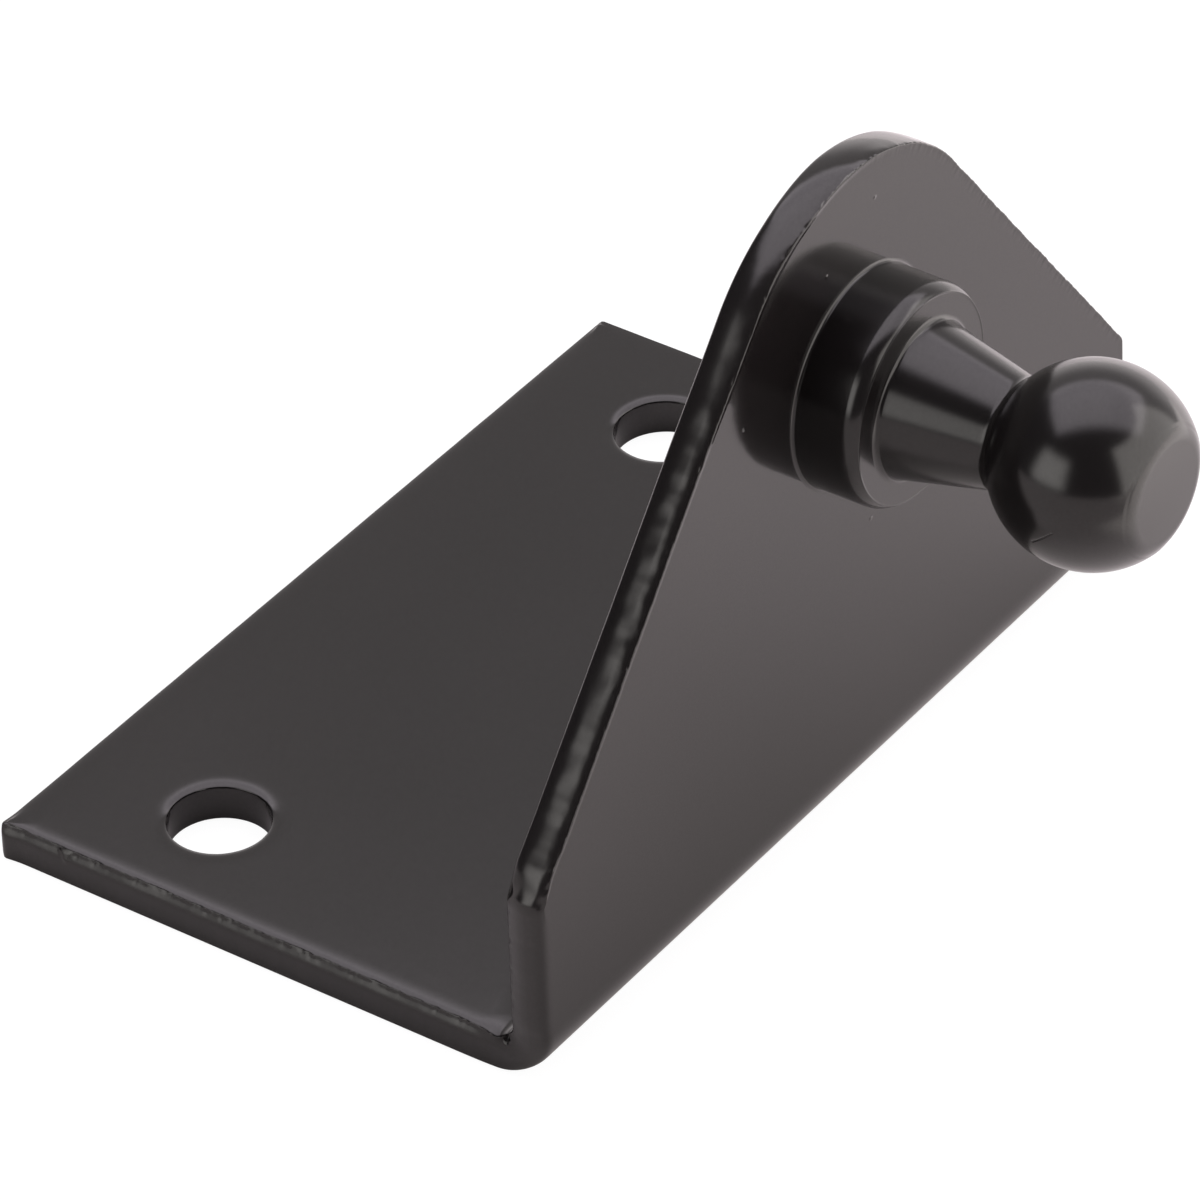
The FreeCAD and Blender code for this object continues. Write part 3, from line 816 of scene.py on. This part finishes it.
def paint(name, base, rough, peel, grain, spots, walls=0.0, painted_shade_spot=None):
    m = bpy.data.materials.new(name)
    m.use_nodes = True
    nt = m.node_tree
    bs = nt.nodes["Principled BSDF"]
    tc = nt.nodes.new("ShaderNodeTexCoord")
    vec = tc.outputs["Object"]
    n_lo = noise_tex(nt, vec, 60, 3)
    n_mid = noise_tex(nt, vec, 650, 2)
    n_hi = noise_tex(nt, vec, 2600, 2)
    cr = nt.nodes.new("ShaderNodeValToRGB")
    cr.color_ramp.elements[0].position = .3
    cr.color_ramp.elements[1].position = .7
    cr.color_ramp.elements[0].color = (base[0] * .85, base[1] * .85, base[2] * .85, 1)
    cr.color_ramp.elements[1].color = (base[0] * 1.15, base[1] * 1.15, base[2] * 1.15, 1)
    nt.links.new(n_lo.s, cr.inputs[0])
    nt.links.new(cr.outputs[0], bs.inputs["Base Color"])
    gn = nt.nodes.new("ShaderNodeNewGeometry")
    wall = sep(nt, gn.outputs["Normal"])[0].step(-.22, -.5) * walls
    r = n_lo * .03 + n_hi * .02 + (rough - .025) + wall * .095
    nt.links.new(r.s, bs.inputs["Roughness"])
    bs.inputs["IOR"].default_value = 1.5
    bs.inputs["Specular Tint"].default_value = (1.0, .995, .960, 1)
    n_fine = noise_tex(nt, vec, 7500, 2)
    level = n_fine * .16 + .42
    # painted shade: dims the specular level around one spot (centre, radius, strength), darkening a corner
    if painted_shade_spot:
        o = sep(nt, vec)
        dd = sum(((o[i] - painted_shade_spot[i] * MM) * (o[i] - painted_shade_spot[i] * MM) for i in (1, 2)), (o[0] - painted_shade_spot[0] * MM) * (o[0] - painted_shade_spot[0] * MM))
        level = level * (1 - (dd * (-1.0 / (painted_shade_spot[3] * MM) ** 2)).exp() * painted_shade_spot[4])
    nt.links.new(level.s, bs.inputs["Specular IOR Level"])
    h = n_mid * peel + n_hi * grain
    # dust nibs and small craters, each at its own place on the part
    if spots:
        xs = sep(nt, vec)
        for (sx, sy, sz, rad_, hgt) in spots:
            dd = ((xs[0] - sx * MM) * (xs[0] - sx * MM) + (xs[1] - sy * MM) * (xs[1] - sy * MM) + (xs[2] - sz * MM) * (xs[2] - sz * MM))
            g = (dd * (-1.0 / (rad_ * MM) ** 2)).exp()
            h = h + g * (hgt * MM)
    bp = nt.nodes.new("ShaderNodeBump")
    bp.inputs["Strength"].default_value = 1.0
    bp.inputs["Distance"].default_value = 1.0
    nt.links.new(h.s, bp.inputs["Height"])
    nt.links.new(bp.outputs[0], bs.inputs["Normal"])
    return m


m_plate = paint("black paint, plate", (.0058, .0049, .0049), .10, 9e-7, 2.2e-7,
                [(-.68, YO, 32.05, .085, .06), (4.52, YO, 29.8, .10, .05), (-9.91, YO, 30.2, .075, .06), (2.65, YO, 16.09, .08, .06), (3.35, YO, 34.18, .08, .06), (-7.6, YO, 27.6, .07, .06),
                 (-HX - .02, YO + T - .04, 9.65, .05, .05), (-HX - .05, YO + T - .1, 8.05, .075, .07)], 1.0,
                # painted shade: specular level dimmed in the inner corner at the left end, where the cut meets the
                # bend
                (-HX + .12, YO + RO - .42, T + .10, .42, .72))
# one light scuff low on the ball's left side
SCUFF = [Vector((-.951, .053, -.307)).lerp(Vector((-.98, -.168, -.115)), i / 8).normalized() for i in range(9)]
m_stud = paint("black paint, stud", (.0054, .0046, .0046), .18, 5e-7, 1.0e-7,
               [(BALL_C[0] + u.x * BALL_R, BALL_C[1] + u.y * BALL_R, BALL_C[2] + u.z * BALL_R, .055, -.026) for u in SCUFF])
plate.data.materials.append(m_plate)
stud.data.materials.append(m_stud)

# ------------------------------------------------------------------ floor
me = bpy.data.meshes.new("floor")
bm = bmesh.new()
GN = 24
FS = 6.0
gv = [[bm.verts.new(((i / GN * 2 - 1) * FS, (j / GN * 2 - 1) * FS, -.00003)) for j in range(GN + 1)] for i in range(GN + 1)]
for i in range(GN):
    for j in range(GN):
        bm.faces.new((gv[i][j], gv[i + 1][j], gv[i + 1][j + 1], gv[i][j + 1]))
bm.to_mesh(me)
bm.free()
floor = bpy.data.objects.new("floor", me)
scene.collection.objects.link(floor)
fm = bpy.data.materials.new("pale floor")
fm.use_nodes = True
nt = fm.node_tree
nt.nodes.clear()
out = nt.nodes.new("ShaderNodeOutputMaterial")
dif = nt.nodes.new("ShaderNodeBsdfDiffuse")
# painted shade: for reflected rays the floor's colour darkens a little towards the camera's left
dif_c = nt.nodes.new("ShaderNodeBsdfDiffuse")
dif_c.inputs[0].default_value = (.10, .10, .10, 1)
em_c = nt.nodes.new("ShaderNodeEmission")
em_c.inputs[0].default_value = (1, 1, 1, 1)
em_c.inputs[1].default_value = .94
em_g = nt.nodes.new("ShaderNodeEmission")
geo = nt.nodes.new("ShaderNodeNewGeometry")
px, py, pz = sep(nt, geo.outputs["Position"])
# painted light: floor emission seen only in reflections, brighter towards the light on the right and in a patch far in
# front
q = (px * .75 - py * .66)
painted_floor_glow = q.step(.02, .14) * .62 + py.step(-.052, -.078) * px.step(-.045, -.02) * 1.1
# painted shade: floor colour darker towards the camera's left, seen only in reflections
nt.links.new(rgb_of(nt, px.step(-.034, .004) * .27 + .71, (.848, .819, .796)), dif.inputs[0])
em_g.inputs[0].default_value = (1, .942, .915, 1)
nt.links.new(painted_floor_glow.s, em_g.inputs[1])
lp = nt.nodes.new("ShaderNodeLightPath")
a_c = nt.nodes.new("ShaderNodeAddShader")
a_g = nt.nodes.new("ShaderNodeAddShader")
mx = nt.nodes.new("ShaderNodeMixShader")
nt.links.new(dif_c.outputs[0], a_c.inputs[0])
nt.links.new(em_c.outputs[0], a_c.inputs[1])
nt.links.new(dif.outputs[0], a_g.inputs[0])
nt.links.new(em_g.outputs[0], a_g.inputs[1])
nt.links.new(lp.outputs["Is Camera Ray"], mx.inputs[0])
nt.links.new(a_g.outputs[0], mx.inputs[1])
nt.links.new(a_c.outputs[0], mx.inputs[2])
nt.links.new(mx.outputs[0], out.inputs[0])
me.materials.append(fm)

# ------------------------------------------------------------------ studio
w = bpy.data.worlds.new("studio")
scene.world = w
w.use_nodes = True
nt = w.node_tree
nt.nodes.clear()
out = nt.nodes.new("ShaderNodeOutputWorld")
bg = nt.nodes.new("ShaderNodeBackground")
bgc = nt.nodes.new("ShaderNodeBackground")
bgc.inputs[0].default_value = (1, 1, 1, 1)
tc = nt.nodes.new("ShaderNodeTexCoord")
dx, dy, dz = sep(nt, tc.outputs["Generated"])
DEG = 180 / PI
el = dz.max(-1).min(1).asin() * DEG
az = dx.atan2(dy * -1) * DEG                # 0 towards -Y, 90 towards +X


def ang_from(azc, elc):
    a, e = math.radians(azc), math.radians(elc)
    v = (math.sin(a) * math.cos(e), -math.cos(a) * math.cos(e), math.sin(e))
    d = dx * v[0] + dy * v[1] + dz * v[2]
    return d.min(1).max(-1)._m("ARCCOSINE", d.min(1).max(-1)) * DEG


right = az.step(-32, -22) * az.step(74, 62) * el.step(52, 46)
left = az.step(-134, -118) * az.step(-80, -98) * el.step(-3, 10) * el.step(42, 28)
backlow = az.step(58, 74) * az.step(178, 150) * el.step(50, 38)
backlit = az.step(70, 90) * az.step(178, 150) * el.step(30, 2)
# overhead panel, square to the camera
zz = dz.max(.02)
pa = (dx * .5735 - dy * .8195) / zz
pb_ = (dx * .8072 + dy * .5903) / zz
topd = pa.step(-.90, -.70) * pa.step(1.25, 1.0) * pb_.step(-.40, -.08) * pb_.step(1.30, .95) * dz.step(.1, .3)
heart = pa.step(-.85, -.5) * pa.step(.5, .1) * pb_.step(-.3, 0) * pb_.step(.75, .45) * dz.step(.1, .3)
stops = [(heart, (.3, .28, .3)), (right, (2.5, 2.38, 2.36)), (left, (2.5, 2.42, 2.42)), (backlow, (.62, .585, .59)), (backlit, (.72, .67, .67)), (topd, (2.05, 1.9, 2.1))]
acc = rgb_of(nt, X(nt, el.s) * 0 + 1, (.10, .095, .10))
for mask, colr in stops:
    acc = vadd(nt, acc, rgb_of(nt, mask, colr))
nt.links.new(acc, bg.inputs[0])
lp = nt.nodes.new("ShaderNodeLightPath")
mx = nt.nodes.new("ShaderNodeMixShader")
nt.links.new(lp.outputs["Is Camera Ray"], mx.inputs[0])
nt.links.new(bg.outputs[0], mx.inputs[1])
nt.links.new(bgc.outputs[0], mx.inputs[2])
nt.links.new(mx.outputs[0], out.inputs[0])
scene.view_settings.view_transform = "Standard"
scene.view_settings.look = "None"

# ------------------------------------------------------------------ camera
C = Vector((-305.166, -232.530, 293.682)) * MM
r_ = Vector((0.57284378, -0.81918658, -0.02798832)).normalized()
f_ = Vector((0.64324538, 0.47044996, -0.60407965)).normalized()
d_ = f_.cross(r_).normalized()
r_ = d_.cross(f_).normalized()
cam = bpy.data.cameras.new("camera")
camo = bpy.data.objects.new("camera", cam)
scene.collection.objects.link(camo)
camo.matrix_world = Matrix(((r_.x, -d_.x, -f_.x, C.x), (r_.y, -d_.y, -f_.y, C.y), (r_.z, -d_.z, -f_.z, C.z), (0, 0, 0, 1)))
cam.sensor_width = 36
cam.lens = 9806.1596 * 36 / 1200
cam.clip_start = .01
cam.clip_end = 100
scene.camera = camo
